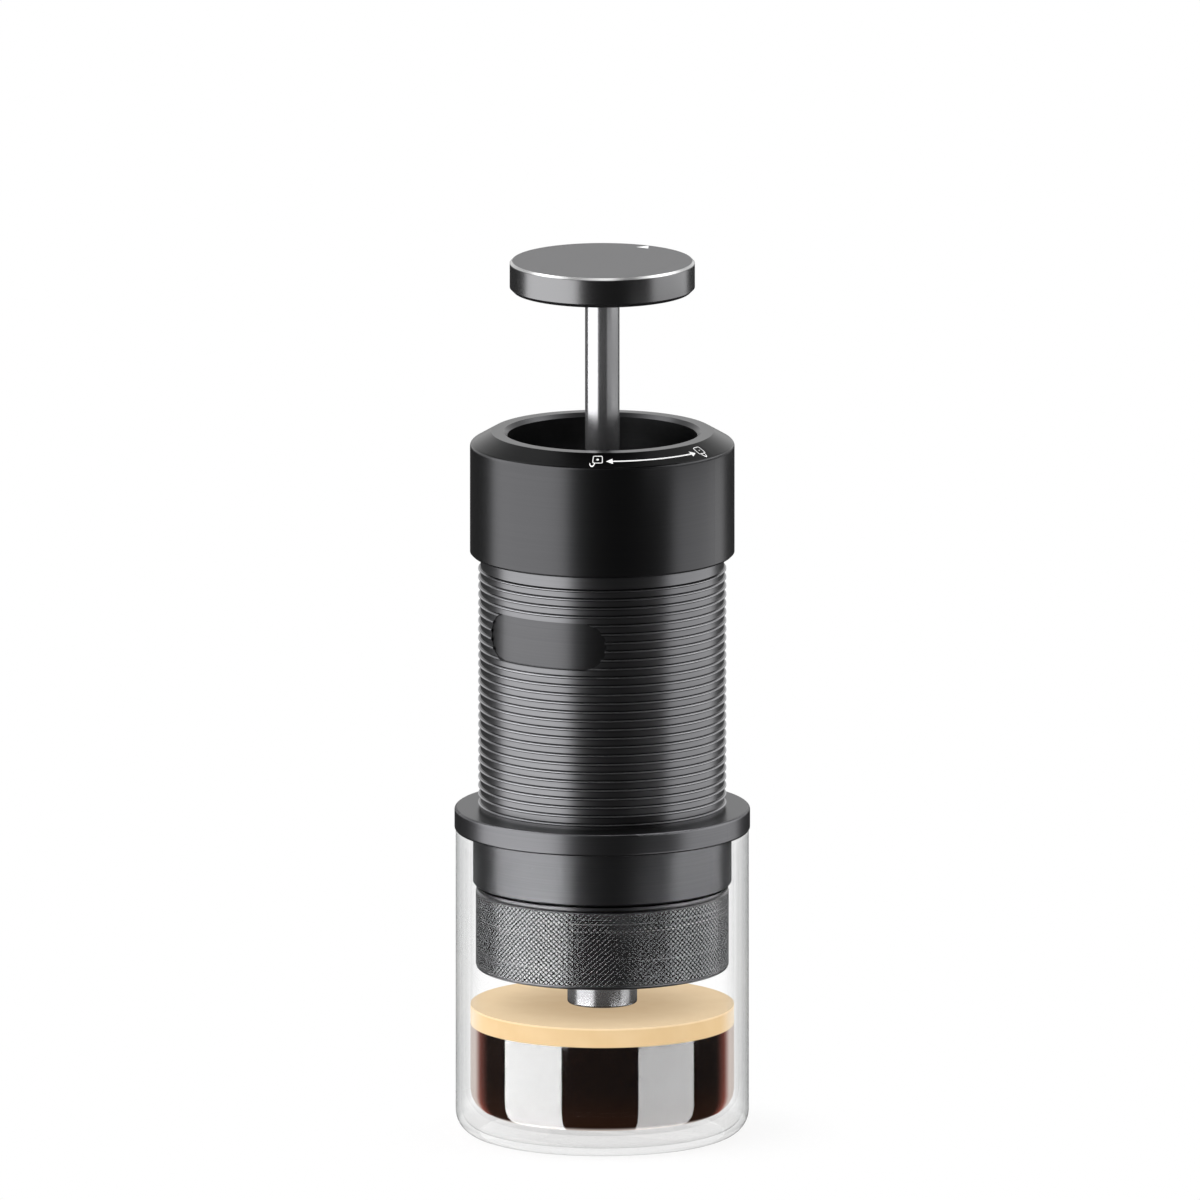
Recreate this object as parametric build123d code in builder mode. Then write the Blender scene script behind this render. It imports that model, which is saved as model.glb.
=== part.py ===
"""Handheld manual espresso maker standing on its double-wall glass cup.

Millimetres, +Z up, origin at the centre of the cup's base.  The plain pad on the grip faces -Y.
Nearly every piece is turned about the Z axis, so heights are stacked upwards from the cup.
"""

import os
from math import cos, degrees, radians, sin, tan

from build123d import *

# ---------------------------------------------------------------- driving sizes: glass cup
cup_radius = 34.0
cup_height = 71.8
cup_wall = 3.4  # both glass walls and the air between them
cup_floor = 5.3
cup_corner = 5.6
glass_thickness = 1.2
glass_base_thickness = 1.8
glass_rim_depth = 4.0
cup_rim_round = 0.7

# ---------------------------------------------------------------- driving sizes: brew head
flange_overhang = 0.3  # past the cup
flange_thickness = 5.2
flange_round = 0.6
ring_clearance = 0.6  # spigot ring inside the cup mouth
ring_wall = 4.7
ring_depth = 12.55
ring_chamfer = 0.3
deck_under = 2.0  # underside of the deck, measured down from the cup rim
chamber_inset = 2.9  # inside the basket
chamber_depth = 1.8
thread_clearance = 0.4  # room that the screw threads take up between two turned pieces

# ---------------------------------------------------------------- driving sizes: grip sleeve
grip_radius = 28.25
grip_wall = 1.45
rib_pitch = 2.05
rib_height = 0.55
rib_width = 0.86  # at the foot
rib_crest = 0.12
rib_start = 1.05
rib_end_band = 3.0
pad_height = 10.9
pad_angle = 67.0
pad_centre_below_top = 16.5
pad_sink = 0.15  # the plain pad lies a little below the bands between the ribs

# ---------------------------------------------------------------- driving sizes: tank and its nut
tank_clearance = 0.1
tank_wall = 0.8
tank_corner = 3.8
washer_thickness = 0.6
washer_radius = 8.6
nut_width = 15.0
nut_head = 1.4
nut_shank_radius = 5.8
nut_shank_length = 4.0

# ---------------------------------------------------------------- driving sizes: duckbill valve
valve_rim_height = 1.0
valve_rim_inset = 0.6  # inside the nut's shank
valve_throat_radius = 2.9
valve_bore_radius = 1.2
valve_body_clearance = 0.3
valve_taper = 0.2
valve_tip_drop = 1.2
valve_tip_radius = 1.1
valve_tip_bore = 0.2
valve_slit_width = 0.3
valve_slit_height = 0.7

# ---------------------------------------------------------------- driving sizes: collar
collar_overhang = 2.45  # past the grip
collar_height = 28.8
collar_chamfer = 0.5
collar_edge_round = 1.0
collar_slope = 30.0  # degrees, of the cone that carries the lock marks
lip_chamfer = 0.9  # at the mouth of the well
lip_land = 2.85  # flat rim between that chamfer and the cone
well_radius = 22.05
well_depth = 15.2
well_floor_thickness = 3.0
seam = 0.2
neck_clearance = 0.7  # tank thread inside the collar
head_gasket_inset = 0.2
head_gasket_width = 1.6
head_gasket_thickness = 1.5

# ---------------------------------------------------------------- driving sizes: pump
stroke = 40.4
bore_radius = 9.0
barrel_wall = 1.5
barrel_flange_radius = 15.0
barrel_flange_thickness = 2.0
barrel_to_nut = 1.6
foot_thickness = 3.0
spigot_radius = 4.0
spigot_length = 6.6
spigot_bore_radius = 1.5
spigot_chamfer = 0.5
spigot_groove_depth = 0.85
spigot_groove_width = 1.0
spigot_groove_above_nut = 2.2  # measured from the nut's lower end
spigot_ring_radius = 0.4
running_clearance = 0.05
seat_clearance = 0.02
post_seat_depth = 2.0
inlet_count = 6
inlet_radius = 0.9
inlet_circle_radius = 5.2
flap_radius = 6.6
flap_thickness = 0.8
bush_plug_length = 5.0
bush_flange_thickness = 2.0
bush_tower_radius = 7.5
bush_tower_height = 2.0
bush_round = 0.4
wiper_radius = 6.2
wiper_height = 2.0
wiper_bevel = 0.3
wiper_lip = 0.2
screw_count = 3
screw_chamfer = 0.3
screw_circle_radius = 12.6
screw_radius = 1.2
screw_head_radius = 2.1
screw_head_height = 1.3
screw_length = 6.4
screw_socket_width = 1.5

# ---------------------------------------------------------------- driving sizes: plunger
rod_radius = 4.0
rod_chamfer = 0.4
plate_clearance = 0.55  # inside the well
plate_thickness = 7.05
plate_top_chamfer = 0.6
plate_bottom_chamfer = 0.85
plate_recess_depth = 2.4
plate_hub_radius = 8.0
plate_rim_width = 2.95
rod_in_plate = 3.5
piston_clearance = 0.3
piston_height = 10.9
piston_chamfer = 0.5
piston_play = 0.3
rod_in_piston = 5.2
seal_width = 2.2
seal_groove_depth = 1.3
seal_above_piston_bottom = 4.9
seal_lip_height = 0.5
seal_waist = 0.4
spring_radius = 7.6
spring_wire = 1.0
spring_turns = 8.5
spring_spare = 1.0
spring_end_play = 0.02

# ---------------------------------------------------------------- driving sizes: plunger lock
open_mark_angle = 30.0  # measured from -Y towards +X
rest_mark_angle = 180.0  # where the plate's mark stands at rest
post_radius = 2.4
post_bore_radius = 1.2
post_wing_radius = 4.8
post_wing_half_angle = 12.0
post_wing_height = 2.0
key_plate = 1.6
key_play = 0.4
key_slot_half_angle = 46.0
key_cavity_height = 2.9
key_cavity_radius = 5.4

# ---------------------------------------------------------------- driving sizes: screen and basket
gasket_thickness = 2.0
gasket_overlap = 1.3  # inside the basket's wall
screen_thickness = 0.6
screen_overlap = 0.6
screen_hole_radius = 0.6
screen_ring_step = 4.2
hole_margin = 1.0
basket_rim_width = 2.3
basket_taper = 0.5
basket_wall = 0.6
basket_rim_thickness = 0.8
basket_depth = 20.4
basket_corner = 2.5
basket_hole_radius = 0.55
basket_ring_step = 4.2

# ---------------------------------------------------------------- driving sizes: filter holder
holder_clearance = 1.35  # inside the cup
holder_height = 19.45
holder_gap = 0.6
holder_lip = 0.5  # thin rim above the knurl, with a groove between them
holder_lip_groove = 0.4
holder_groove_depth = 0.6
holder_round = 0.7
holder_edge_chamfer = 0.3
holder_neck_wall = 2.5
holder_pocket_clearance = 0.5
funnel_depth = 1.4
funnel_ledge = 2.0
funnel_hole_radius = 3.0
spout_radius = 8.1
spout_wall = 1.2
spout_reach = 8.4
spout_seat_depth = 3.6
spout_taper = 2.0
spout_round = 0.5
spout_seal_width = 1.0

# ---------------------------------------------------------------- radii, worked inwards from the cup
cup_bore_radius = cup_radius - cup_wall
flange_radius = cup_radius + flange_overhang
ring_radius = cup_bore_radius - ring_clearance
head_bore = ring_radius - ring_wall
holder_radius = cup_bore_radius - holder_clearance
holder_neck_radius = head_bore - thread_clearance
holder_bore = holder_neck_radius - holder_neck_wall
basket_radius = holder_bore - holder_pocket_clearance
basket_rim_radius = basket_radius + basket_rim_width
chamber_radius = basket_radius - chamber_inset
plate_radius = well_radius - plate_clearance
collar_radius = grip_radius + collar_overhang

# ---------------------------------------------------------------- heights, stacked upwards
flange_top = cup_height + flange_thickness
ring_bottom = cup_height - ring_depth
deck_bottom = cup_height - deck_under
chamber_top = deck_bottom + chamber_depth

tank_radius = grip_radius - grip_wall - tank_clearance
tank_floor_top = flange_top + tank_wall
washer_top = tank_floor_top + washer_thickness
nut_top = washer_top + nut_head
nut_bottom = tank_floor_top - nut_shank_length

foot_bottom = nut_top + barrel_to_nut
foot_top = foot_bottom + foot_thickness
spigot_bottom = foot_bottom - spigot_length
piston_down = foot_top + spring_turns * spring_wire + spring_spare
piston_bottom = piston_down + stroke
piston_top = piston_bottom + piston_height
bush_bottom = piston_top + piston_play
well_floor = bush_bottom + bush_plug_length
barrel_flange_top = well_floor + barrel_flange_thickness
bush_flange_top = barrel_flange_top + bush_flange_thickness
bush_tower_top = bush_flange_top + bush_tower_height

collar_crest = well_floor + well_depth
rim_inner = well_radius + lip_chamfer
rim_outer = rim_inner + lip_land
collar_edge = collar_crest - (collar_radius - rim_outer) * tan(radians(collar_slope))
collar_bottom = collar_crest - collar_height
collar_shoulder = well_floor - well_floor_thickness
sleeve_top = collar_bottom - seam
tank_top = collar_shoulder - head_gasket_thickness

plate_top = collar_crest + stroke
plate_bottom = plate_top - plate_thickness
seal_bottom = piston_bottom + seal_above_piston_bottom
post_top = piston_down + key_plate + key_play + post_wing_height

gasket_bottom = deck_bottom - screen_thickness - gasket_thickness
holder_neck_top = gasket_bottom - basket_rim_thickness
holder_top = ring_bottom - holder_gap
holder_bottom = holder_top - holder_height
lip_groove_bottom = holder_top - holder_lip - holder_lip_groove
basket_bottom = holder_neck_top - basket_depth
pocket_bottom = basket_bottom - holder_pocket_clearance
spout_bottom = holder_bottom - spout_reach
spout_top = holder_bottom + spout_seat_depth


def turned(outline, rounds=(), mode=Mode.ADD):
    """Revolve an outline of (radius, height) corners; rounds holds (corner, radius) pairs."""
    with BuildSketch(Plane.XZ) as section:
        with BuildLine():
            Polyline(*outline, close=True)
        make_face()
        for corner, radius in rounds:
            fillet(section.vertices().sort_by_distance(corner)[0], radius)
    revolve(section.sketch, axis=Axis.Z, mode=mode)


def ring(inner, outer, bottom, top, mode=Mode.ADD):
    """A plain ring, or a disc where inner is 0."""
    turned([(inner, bottom), (outer, bottom), (outer, top), (inner, top)], mode=mode)


def sector(radius, half_angle, heading):
    """Two opposite wings of a circle; heading is measured from -Y towards +X."""
    for side in (0, 180):
        start = heading - 90 + side - half_angle
        left = (2 * radius * cos(radians(start)), 2 * radius * sin(radians(start)))
        end = start + 2 * half_angle
        right = (2 * radius * cos(radians(end)), 2 * radius * sin(radians(end)))
        middle = heading - 90 + side
        peak = (3 * radius * cos(radians(middle)), 3 * radius * sin(radians(middle)))
        with BuildSketch(mode=Mode.PRIVATE) as wedge:
            with BuildLine():
                Polyline((0, 0), left, peak, right, close=True)
            make_face()
            Circle(radius, mode=Mode.INTERSECT)
        add(wedge.sketch)


def perforate(hole_radius, ring_step, outermost, bottom, top):
    """Drill rings of round holes, spaced by about one ring step, through a thin disc."""
    ring_count = int(outermost / ring_step)
    for number in range(ring_count + 1):
        with BuildSketch(Plane.XY.offset(bottom)) as holes:
            if number == 0:
                Circle(hole_radius)
            else:
                with PolarLocations(number * ring_step, 6 * number):
                    Circle(hole_radius)
        extrude(holes.sketch, amount=top - bottom, mode=Mode.SUBTRACT)


# ================================================================ cup
with BuildPart() as glass_cup:
    turned(
        [
            (0, 0),
            (cup_radius, 0),
            (cup_radius, cup_height),
            (cup_bore_radius, cup_height),
            (cup_bore_radius, cup_floor),
            (0, cup_floor),
        ],
        rounds=[
            ((cup_radius, 0), cup_corner),
            ((cup_radius, cup_height), cup_rim_round),
            ((cup_bore_radius, cup_height), cup_rim_round),
            ((cup_bore_radius, cup_floor), cup_corner),
        ],
    )
    # sealed air space between the two walls
    air_outer = cup_radius - glass_thickness
    air_inner = cup_bore_radius + glass_thickness
    air_top = cup_height - glass_rim_depth
    air_floor = cup_floor - glass_thickness
    turned(
        [
            (0, glass_base_thickness),
            (air_outer, glass_base_thickness),
            (air_outer, air_top),
            (air_inner, air_top),
            (air_inner, air_floor),
            (0, air_floor),
        ],
        rounds=[
            ((air_outer, glass_base_thickness), cup_corner - glass_thickness),
            ((air_inner, air_floor), cup_corner + glass_thickness),
        ],
        mode=Mode.SUBTRACT,
    )

# ================================================================ maker body
# The duckbill's rim is trapped under the nut's shank, so the deck steps down under it.
valve_rim_bottom = nut_bottom - valve_rim_height

with BuildPart() as brew_head:
    turned(
        [
            (head_bore, ring_bottom),
            (ring_radius - ring_chamfer, ring_bottom),
            (ring_radius, ring_bottom + ring_chamfer),
            (ring_radius, cup_height),
            (flange_radius, cup_height),
            (flange_radius, flange_top),
            (nut_shank_radius + seat_clearance, flange_top),
            (nut_shank_radius + seat_clearance, valve_rim_bottom),
            (valve_throat_radius, valve_rim_bottom),
            (valve_throat_radius, chamber_top),
            (chamber_radius, chamber_top),
            (chamber_radius, deck_bottom),
            (head_bore, deck_bottom),
        ],
        rounds=[
            ((flange_radius, cup_height), flange_round),
            ((flange_radius, flange_top), flange_round),
        ],
    )

pad_middle = sleeve_top - pad_centre_below_top
pad_half_width = grip_radius * sin(radians(pad_angle / 2))
pad_end_angle = pad_angle / 2 - degrees(pad_height / 2 / grip_radius)
pad_straight = grip_radius * sin(radians(pad_end_angle))

# A pill as seen square on: its round ends narrow where the grip curves away.
with BuildPart() as pad_cut:
    with BuildSketch(Plane.XZ) as pill:
        with Locations((0, pad_middle)):
            Rectangle(2 * pad_straight, pad_height)
            with Locations((-pad_straight, 0), (pad_straight, 0)):
                Ellipse(pad_half_width - pad_straight, pad_height / 2)
    extrude(amount=grip_radius * 2)
    ring(grip_radius - pad_sink, grip_radius * 2, flange_top, sleeve_top, mode=Mode.INTERSECT)

with BuildPart() as grip_sleeve:
    rib_count = int((sleeve_top - rib_end_band - flange_top - rib_start) / rib_pitch) + 1
    rib_radius = grip_radius + rib_height
    profile = [(grip_radius - grip_wall, flange_top), (grip_radius, flange_top)]
    for number in range(rib_count):
        crest = flange_top + rib_start + number * rib_pitch
        profile.append((grip_radius, crest - rib_width / 2))
        profile.append((rib_radius, crest - rib_crest / 2))
        profile.append((rib_radius, crest + rib_crest / 2))
        profile.append((grip_radius, crest + rib_width / 2))
    profile.append((grip_radius, sleeve_top))
    profile.append((grip_radius - grip_wall, sleeve_top))
    turned(profile)
    add(pad_cut.part, mode=Mode.SUBTRACT)

with BuildPart() as water_tank:
    turned(
        [
            (nut_shank_radius + tank_clearance, flange_top),
            (tank_radius, flange_top),
            (tank_radius, tank_top),
            (tank_radius - tank_wall, tank_top),
            (tank_radius - tank_wall, tank_floor_top),
            (nut_shank_radius + tank_clearance, tank_floor_top),
        ],
        rounds=[
            ((tank_radius, flange_top), tank_corner),
            ((tank_radius - tank_wall, tank_floor_top), tank_corner - tank_wall),
        ],
    )

with BuildPart() as tank_washer:
    ring(nut_shank_radius + tank_clearance, washer_radius, tank_floor_top, washer_top)

with BuildPart() as tank_nut:
    with BuildSketch(Plane.XY.offset(washer_top)):
        RegularPolygon(nut_width / 2, 6, major_radius=False)
    extrude(amount=nut_head)
    ring(0, nut_shank_radius, nut_bottom, washer_top)
    ring(0, spigot_radius + running_clearance, nut_bottom, nut_top, mode=Mode.SUBTRACT)

with BuildPart() as outlet_valve:
    valve_rim_radius = nut_shank_radius - valve_rim_inset
    valve_body_radius = valve_throat_radius - valve_body_clearance
    valve_tip = chamber_top - valve_tip_drop
    turned(
        [
            (valve_bore_radius, nut_bottom),
            (valve_rim_radius, nut_bottom),
            (valve_rim_radius, valve_rim_bottom),
            (valve_body_radius, valve_rim_bottom),
            (valve_body_radius - valve_taper, chamber_top),
            (valve_tip_radius, valve_tip),
            (valve_tip_bore, valve_tip),
            (valve_bore_radius - valve_taper, chamber_top),
        ]
    )
    # the slit between the two lips
    with Locations((0, 0, valve_tip)):
        Box(
            2 * valve_throat_radius,
            valve_slit_width,
            valve_slit_height,
            align=(Align.CENTER, Align.CENTER, Align.MIN),
            mode=Mode.SUBTRACT,
        )

with BuildPart() as shower_screen:
    screen_bottom = deck_bottom - screen_thickness
    ring(0, basket_radius + screen_overlap, screen_bottom, deck_bottom)
    perforate(
        screen_hole_radius,
        screen_ring_step,
        chamber_radius - hole_margin,
        screen_bottom,
        deck_bottom,
    )

with BuildPart() as group_gasket:
    ring(
        basket_radius - gasket_overlap,
        head_bore - tank_clearance,
        gasket_bottom,
        gasket_bottom + gasket_thickness,
    )

# ================================================================ pump head
barrel_radius = bore_radius + barrel_wall

with BuildPart() as head_gasket:
    head_gasket_outer = tank_radius - head_gasket_inset
    ring(head_gasket_outer - head_gasket_width, head_gasket_outer, tank_top, collar_shoulder)

with BuildPart() as top_collar:
    neck_bore = tank_radius + neck_clearance
    turned(
        [
            (neck_bore, collar_bottom),
            (collar_radius - collar_chamfer, collar_bottom),
            (collar_radius, collar_bottom + collar_chamfer),
            (collar_radius, collar_edge),
            (rim_outer, collar_crest),
            (rim_inner, collar_crest),
            (well_radius, collar_crest - lip_chamfer),
            (well_radius, well_floor),
            (barrel_radius + tank_clearance, well_floor),
            (barrel_radius + tank_clearance, collar_shoulder),
            (neck_bore, collar_shoulder),
        ],
        rounds=[((collar_radius, collar_edge), collar_edge_round)],
    )
    with BuildSketch(Plane.XY.offset(well_floor)):
        with PolarLocations(screw_circle_radius, screw_count):
            Circle(screw_radius + seat_clearance)
    extrude(amount=-(screw_length - barrel_flange_thickness - bush_flange_thickness), mode=Mode.SUBTRACT)

with BuildPart() as pump_cylinder:
    ring(bore_radius, barrel_radius, foot_bottom, well_floor)
    ring(bore_radius, barrel_flange_radius, well_floor, barrel_flange_top)
    with BuildSketch(Plane.XY.offset(well_floor)):
        with PolarLocations(screw_circle_radius, screw_count):
            Circle(screw_radius + tank_clearance)
    extrude(amount=barrel_flange_thickness, mode=Mode.SUBTRACT)

spigot_groove_middle = nut_bottom + spigot_groove_above_nut + spigot_groove_width / 2
post_bottom = foot_top - post_seat_depth

with BuildPart() as pump_foot:
    ring(0, bore_radius - seat_clearance, foot_bottom, foot_top)
    turned(
        [
            (0, spigot_bottom),
            (spigot_radius - spigot_chamfer, spigot_bottom),
            (spigot_radius, spigot_bottom + spigot_chamfer),
            (spigot_radius, foot_bottom),
            (0, foot_bottom),
        ]
    )
    ring(
        spigot_radius - spigot_groove_depth,
        spigot_radius + spigot_groove_depth,
        spigot_groove_middle - spigot_groove_width / 2,
        spigot_groove_middle + spigot_groove_width / 2,
        mode=Mode.SUBTRACT,
    )
    ring(0, spigot_bore_radius, spigot_bottom, foot_top, mode=Mode.SUBTRACT)
    ring(0, post_radius + seat_clearance, post_bottom, foot_top, mode=Mode.SUBTRACT)
    with BuildSketch(Plane.XY.offset(foot_bottom)):
        with PolarLocations(inlet_circle_radius, inlet_count):
            Circle(inlet_radius)
    extrude(amount=foot_thickness, mode=Mode.SUBTRACT)

with BuildPart() as spigot_oring:
    with BuildSketch(Plane.XZ):
        with Locations((spigot_radius - spigot_ring_radius, spigot_groove_middle)):
            Circle(spigot_ring_radius)
    revolve(axis=Axis.Z)

with BuildPart() as inlet_valve:
    ring(post_radius + tank_clearance, flap_radius, foot_top, foot_top + flap_thickness)

with BuildPart() as lock_post:
    ring(0, post_radius, post_bottom, post_top)
    with BuildSketch(Plane.XY.offset(post_top - post_wing_height)):
        sector(post_wing_radius, post_wing_half_angle, open_mark_angle)
    extrude(amount=post_wing_height)
    ring(0, post_bore_radius, foot_bottom, post_top, mode=Mode.SUBTRACT)

with BuildPart() as guide_bush:
    turned(
        [
            (rod_radius + running_clearance, bush_bottom),
            (bore_radius - seat_clearance, bush_bottom),
            (bore_radius - seat_clearance, barrel_flange_top),
            (barrel_flange_radius, barrel_flange_top),
            (barrel_flange_radius, bush_flange_top),
            (bush_tower_radius, bush_flange_top),
            (bush_tower_radius, bush_tower_top),
            (wiper_radius, bush_tower_top),
            (wiper_radius, bush_tower_top - wiper_height),
            (rod_radius + running_clearance, bush_tower_top - wiper_height),
        ],
        rounds=[((bush_tower_radius, bush_tower_top), bush_round)],
    )
    with BuildSketch(Plane.XY.offset(barrel_flange_top)):
        with PolarLocations(screw_circle_radius, screw_count):
            Circle(screw_radius + tank_clearance)
    extrude(amount=bush_flange_thickness, mode=Mode.SUBTRACT)

with BuildPart() as rod_wiper:
    wiper_bottom = bush_tower_top - wiper_height
    turned(
        [
            (rod_radius + wiper_lip, wiper_bottom),
            (wiper_radius - seat_clearance, wiper_bottom),
            (wiper_radius - seat_clearance, bush_tower_top - wiper_bevel),
            (rod_radius + running_clearance, bush_tower_top + wiper_lip),
        ]
    )

with BuildPart() as cap_screws:
    with PolarLocations(screw_circle_radius, screw_count):
        with Locations((0, 0, bush_flange_top)):
            Cylinder(
                screw_head_radius,
                screw_head_height,
                align=(Align.CENTER, Align.CENTER, Align.MIN),
            )
            Cylinder(
                screw_radius,
                screw_length,
                align=(Align.CENTER, Align.CENTER, Align.MAX),
            )
    chamfer(cap_screws.faces().filter_by(Axis.Z).group_by(Axis.Z)[-1].edges(), screw_chamfer)
    with BuildSketch(Plane.XY.offset(bush_flange_top + screw_head_height)):
        with PolarLocations(screw_circle_radius, screw_count):
            RegularPolygon(screw_socket_width / 2, 6, major_radius=False)
    extrude(amount=-screw_head_height * 2 / 3, mode=Mode.SUBTRACT)

with BuildPart() as return_spring:
    spring_start = foot_top + spring_wire / 2 + spring_end_play
    spring_length = piston_bottom - spring_end_play - spring_wire / 2 - spring_start
    with BuildLine():
        coil = Helix(
            pitch=spring_length / spring_turns,
            height=spring_length,
            radius=spring_radius,
            center=(0, 0, spring_start),
        )
    with BuildSketch(Plane(origin=coil @ 0, z_dir=coil % 0)):
        Circle(spring_wire / 2)
    sweep(is_frenet=True)

# ================================================================ plunger
groove_radius = bore_radius - piston_clearance - seal_groove_depth

with BuildPart() as piston_seal:
    seal_inner = groove_radius + running_clearance
    seal_outer = bore_radius - running_clearance
    seal_low = seal_bottom + running_clearance
    seal_high = seal_bottom + seal_width - running_clearance
    turned(
        [
            (seal_inner, seal_low),
            (seal_outer, seal_low),
            (seal_outer, seal_low + seal_lip_height),
            (seal_outer - seal_waist, (seal_low + seal_high) / 2),
            (seal_outer, seal_high - seal_lip_height),
            (seal_outer, seal_high),
            (seal_inner, seal_high),
        ]
    )

with BuildPart() as piston_head:
    piston_radius = bore_radius - piston_clearance
    ring(0, piston_radius, piston_bottom, piston_top)
    chamfer(piston_head.faces().sort_by(Axis.Z)[-1].edges(), piston_chamfer)
    ring(groove_radius, bore_radius, seal_bottom, seal_bottom + seal_width, mode=Mode.SUBTRACT)
    # keyed recess: the wings of the lock post pass the slots, then the plunger turns over them
    cavity_bottom = piston_bottom + key_plate
    ring(0, key_cavity_radius, cavity_bottom, cavity_bottom + key_cavity_height, mode=Mode.SUBTRACT)
    ring(0, post_radius + key_play, piston_bottom, cavity_bottom, mode=Mode.SUBTRACT)
    with BuildSketch(Plane.XY.offset(piston_bottom)):
        sector(post_wing_radius + key_play, key_slot_half_angle, rest_mark_angle)
    extrude(amount=key_plate, mode=Mode.SUBTRACT)
    ring(0, rod_radius + seat_clearance, piston_top - rod_in_piston, piston_top, mode=Mode.SUBTRACT)

with BuildPart() as plunger_rod:
    ring(0, rod_radius, piston_top - rod_in_piston, plate_bottom + rod_in_plate)
    chamfer(plunger_rod.faces().filter_by(Axis.Z).edges(), rod_chamfer)

with BuildPart() as plunger_plate:
    turned(
        [
            (0, plate_bottom),
            (plate_hub_radius, plate_bottom),
            (plate_hub_radius, plate_bottom + plate_recess_depth),
            (plate_radius - plate_rim_width, plate_bottom + plate_recess_depth),
            (plate_radius - plate_rim_width, plate_bottom),
            (plate_radius - plate_bottom_chamfer, plate_bottom),
            (plate_radius, plate_bottom + plate_bottom_chamfer),
            (plate_radius, plate_top - plate_top_chamfer),
            (plate_radius - plate_top_chamfer, plate_top),
            (0, plate_top),
        ]
    )
    ring(0, rod_radius + seat_clearance, plate_bottom, plate_bottom + rod_in_plate, mode=Mode.SUBTRACT)

# ================================================================ basket and holder
with BuildPart() as filter_basket:
    foot_radius = basket_radius - basket_taper
    turned(
        [
            (0, basket_bottom),
            (foot_radius, basket_bottom),
            (basket_radius, holder_neck_top),
            (basket_rim_radius, holder_neck_top),
            (basket_rim_radius, gasket_bottom),
            (basket_radius - basket_wall, gasket_bottom),
            (foot_radius - basket_wall, basket_bottom + basket_wall),
            (0, basket_bottom + basket_wall),
        ],
        rounds=[
            ((foot_radius, basket_bottom), basket_corner),
            ((foot_radius - basket_wall, basket_bottom + basket_wall), basket_corner - basket_wall),
        ],
    )
    perforate(
        basket_hole_radius,
        basket_ring_step,
        foot_radius - basket_corner - hole_margin,
        basket_bottom,
        basket_bottom + basket_wall,
    )

with BuildPart() as filter_holder:
    turned(
        [
            (spout_radius + seat_clearance, holder_bottom),
            (holder_radius, holder_bottom),
            (holder_radius, lip_groove_bottom - holder_edge_chamfer),
            (holder_radius - holder_edge_chamfer, lip_groove_bottom),
            (holder_radius - holder_groove_depth, lip_groove_bottom),
            (holder_radius - holder_groove_depth, holder_top - holder_lip),
            (holder_radius, holder_top - holder_lip),
            (holder_radius, holder_top),
            (holder_neck_radius, holder_top),
            (holder_neck_radius, holder_neck_top),
            (holder_bore, holder_neck_top),
            (holder_bore, pocket_bottom),
            (holder_bore - funnel_ledge, pocket_bottom),
            (funnel_hole_radius, pocket_bottom - funnel_depth),
            (funnel_hole_radius, spout_top + spout_seal_width),
            (spout_radius + seat_clearance, spout_top + spout_seal_width),
        ],
        rounds=[((holder_radius, holder_bottom), holder_round)],
    )

with BuildPart() as spout_seal:
    ring(funnel_hole_radius, spout_radius - seat_clearance, spout_top, spout_top + spout_seal_width)

with BuildPart() as spout:
    spout_bore = spout_radius - spout_wall
    turned(
        [
            (spout_bore, spout_bottom),
            (spout_radius, spout_bottom),
            (spout_radius, spout_top),
            (funnel_hole_radius, spout_top),
            (funnel_hole_radius, spout_top - spout_wall),
            (spout_bore, spout_top - spout_wall - spout_taper),
        ],
        rounds=[
            ((spout_bore, spout_bottom), spout_round),
            ((spout_radius, spout_bottom), spout_round),
        ],
    )

# ================================================================ files
pieces = {
    "glass_cup": glass_cup,
    "brew_head": brew_head,
    "grip_sleeve": grip_sleeve,
    "water_tank": water_tank,
    "tank_washer": tank_washer,
    "tank_nut": tank_nut,
    "outlet_valve": outlet_valve,
    "shower_screen": shower_screen,
    "group_gasket": group_gasket,
    "head_gasket": head_gasket,
    "top_collar": top_collar,
    "pump_cylinder": pump_cylinder,
    "pump_foot": pump_foot,
    "spigot_oring": spigot_oring,
    "inlet_valve": inlet_valve,
    "lock_post": lock_post,
    "guide_bush": guide_bush,
    "rod_wiper": rod_wiper,
    "cap_screws": cap_screws,
    "return_spring": return_spring,
    "piston_seal": piston_seal,
    "piston_head": piston_head,
    "plunger_rod": plunger_rod,
    "plunger_plate": plunger_plate,
    "filter_basket": filter_basket,
    "filter_holder": filter_holder,
    "spout_seal": spout_seal,
    "spout": spout,
}

os.makedirs("parts", exist_ok=True)
for node, piece in pieces.items():
    piece.part.label = node
    export_step(piece.part, f"parts/{node}.step")
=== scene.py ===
"""Looks for the handheld manual espresso maker: finishes, coffee, knurl, threads, spring, marks and light.

+Z is up, and the piece sizes below are millimetres, turned into metres by MM.
"""

import math

import bmesh
import bpy
from mathutils import Matrix, Vector


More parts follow.
